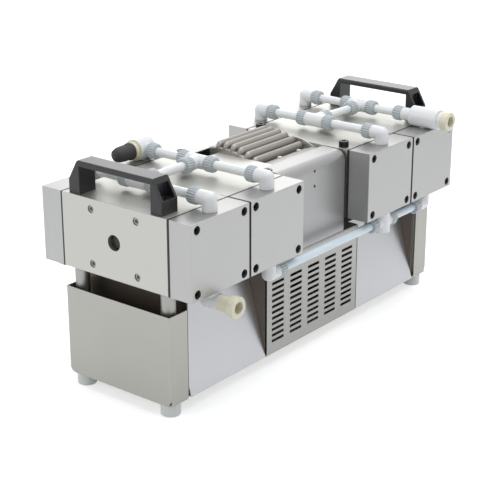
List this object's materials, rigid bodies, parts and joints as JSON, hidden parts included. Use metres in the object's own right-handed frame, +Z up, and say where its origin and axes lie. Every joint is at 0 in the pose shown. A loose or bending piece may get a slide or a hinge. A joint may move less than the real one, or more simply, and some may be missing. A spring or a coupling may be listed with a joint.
{
  "type": "diaphragm vacuum pump",
  "caption": "Oil-free diaphragm vacuum pump with opposed pump heads, a central motor, hard-piped gas tubing, carrying handles and a slotted base.",
  "frame": {"origin": "on the surface the feet stand on, under the middle of the pump", "axes": "+Z up, +Y along the crankshaft towards the end with the open suction port, +X towards the side with that port"},
  "size_m": [0.306, 0.604, 0.312],
  "materials": {
    "stainless_sheet": "fine satin stainless sheet",
    "panel_sheet": "light satin sheet",
    "cast_aluminium": "fine bead-blasted aluminium",
    "head_aluminium": "fine satin machined aluminium",
    "motor_aluminium": "die-cast, slightly dull",
    "steel_screw": "plain steel",
    "black_screw": "black oxide",
    "post_steel": "turned bright steel",
    "foot_plastic": "off-white elastomer",
    "black_handle": "fine matt grain",
    "black_cap": "soft matt rubber",
    "white_fluoropolymer": "waxy white",
    "nut_plastic": "pale grey moulded",
    "cream_plastic": "cream moulded",
    "tube_plastic": "translucent white extruded tube",
    "diaphragm_rubber": "moulded elastomer",
    "valve_plastic": "machined fluoropolymer",
    "shaft_steel": "ground steel",
    "rod_aluminium": "die-cast",
    "lamination_steel": "varnished lamination stack",
    "fan_plastic": "black moulded",
    "switch_plastic": "black moulded"
  },
  "bodies": {
    "frame": {"base_floor": "stainless_sheet", "bulkheads": "stainless_sheet", "capped_port": "cream_plastic", "corner_cap_screws": "black_screw", "cover_plate_front": "cast_aluminium", "cover_plate_rear": "cast_aluminium", "crank_housing_front": "cast_aluminium", "crank_housing_rear": "cast_aluminium", "diaphragms": "diaphragm_rubber", "elbow_fittings": "white_fluoropolymer", "end_cap_front": "stainless_sheet", "end_cap_rear": "stainless_sheet", "end_shields": "motor_aluminium", "feet": "foot_plastic", "gas_tubes": "tube_plastic", "grille_panel_left": "stainless_sheet", "grille_panel_right": "stainless_sheet", "handle_front": "black_handle", "handle_rear": "black_handle", "head_left_1": "head_aluminium", "head_left_2": "head_aluminium", "head_left_3": "head_aluminium", "head_left_4": "head_aluminium", "head_right_1": "head_aluminium", "head_right_2": "head_aluminium", "head_right_3": "head_aluminium", "head_right_4": "head_aluminium", "head_screws": "steel_screw", "motor_cover_left": "stainless_sheet", "motor_cover_right": "stainless_sheet", "motor_deck": "stainless_sheet", "motor_housing": "motor_aluminium", "outlet_port_left": "cream_plastic", "outlet_port_right": "cream_plastic", "plate_screws": "steel_screw", "power_inlet_and_switch_frame": "switch_plastic", "shaft_bearings": "shaft_steel", "side_panels": "panel_sheet", "stator": "lamination_steel", "suction_port": "cream_plastic", "support_posts": "post_steel", "tee_fittings": "white_fluoropolymer", "union_nuts": "nut_plastic", "valve_discs": "diaphragm_rubber", "valve_plates": "valve_plastic"},
    "crank_assembly": {"crankshaft": "shaft_steel", "big_end_bearings": "shaft_steel", "counterweights": "shaft_steel", "rotor": "lamination_steel", "cooling_fan": "fan_plastic"},
    "connecting_rod_right_1": {"rod_right_1": "rod_aluminium"},
    "connecting_rod_left_1": {"rod_left_1": "rod_aluminium"},
    "connecting_rod_right_2": {"rod_right_2": "rod_aluminium"},
    "connecting_rod_left_2": {"rod_left_2": "rod_aluminium"},
    "connecting_rod_right_3": {"rod_right_3": "rod_aluminium"},
    "connecting_rod_left_3": {"rod_left_3": "rod_aluminium"},
    "connecting_rod_right_4": {"rod_right_4": "rod_aluminium"},
    "connecting_rod_left_4": {"rod_left_4": "rod_aluminium"},
    "port_cap": {"port_cap": "black_cap"},
    "switch_rocker": {"switch_rocker": "switch_plastic"}
  },
  "joints": [
    {"name": "crank_spin", "type": "hinge", "parent": "frame", "child": "crank_assembly", "pos_m": [0, 0, 0.218], "axis": [0, 1, 0], "continuous": true, "deforming": ["diaphragms"]},
    {"name": "rod_right_1_pivot", "type": "hinge", "parent": "crank_assembly", "child": "connecting_rod_right_1", "pos_m": [0, -0.2455, 0.221], "axis": [0, 1, 0], "continuous": true},
    {"name": "rod_left_1_pivot", "type": "hinge", "parent": "crank_assembly", "child": "connecting_rod_left_1", "pos_m": [0, -0.2455, 0.221], "axis": [0, 1, 0], "continuous": true},
    {"name": "rod_right_2_pivot", "type": "hinge", "parent": "crank_assembly", "child": "connecting_rod_right_2", "pos_m": [0, -0.1325, 0.215], "axis": [0, 1, 0], "continuous": true},
    {"name": "rod_left_2_pivot", "type": "hinge", "parent": "crank_assembly", "child": "connecting_rod_left_2", "pos_m": [0, -0.1325, 0.215], "axis": [0, 1, 0], "continuous": true},
    {"name": "rod_right_3_pivot", "type": "hinge", "parent": "crank_assembly", "child": "connecting_rod_right_3", "pos_m": [0, 0.1325, 0.215], "axis": [0, 1, 0], "continuous": true},
    {"name": "rod_left_3_pivot", "type": "hinge", "parent": "crank_assembly", "child": "connecting_rod_left_3", "pos_m": [0, 0.1325, 0.215], "axis": [0, 1, 0], "continuous": true},
    {"name": "rod_right_4_pivot", "type": "hinge", "parent": "crank_assembly", "child": "connecting_rod_right_4", "pos_m": [0, 0.2455, 0.221], "axis": [0, 1, 0], "continuous": true},
    {"name": "rod_left_4_pivot", "type": "hinge", "parent": "crank_assembly", "child": "connecting_rod_left_4", "pos_m": [0, 0.2455, 0.221], "axis": [0, 1, 0], "continuous": true},
    {"name": "port_cap_pull", "type": "slide", "parent": "frame", "child": "port_cap", "axis": [0, -1, 0], "range_m": [0, 0.02]},
    {"name": "switch_rocker_tilt", "type": "hinge", "parent": "frame", "child": "switch_rocker", "pos_m": [-0.0851, 0.008, 0.092], "axis": [0, 0, 1], "range_deg": [-14, 0]}
  ],
  "couplings": [
    {"joint": "rod_right_1_pivot", "follows": "crank_spin", "ratio": -1},
    {"joint": "rod_left_1_pivot", "follows": "crank_spin", "ratio": -1},
    {"joint": "rod_right_2_pivot", "follows": "crank_spin", "ratio": -1},
    {"joint": "rod_left_2_pivot", "follows": "crank_spin", "ratio": -1},
    {"joint": "rod_right_3_pivot", "follows": "crank_spin", "ratio": -1},
    {"joint": "rod_left_3_pivot", "follows": "crank_spin", "ratio": -1},
    {"joint": "rod_right_4_pivot", "follows": "crank_spin", "ratio": -1},
    {"joint": "rod_left_4_pivot", "follows": "crank_spin", "ratio": -1}
  ]
}
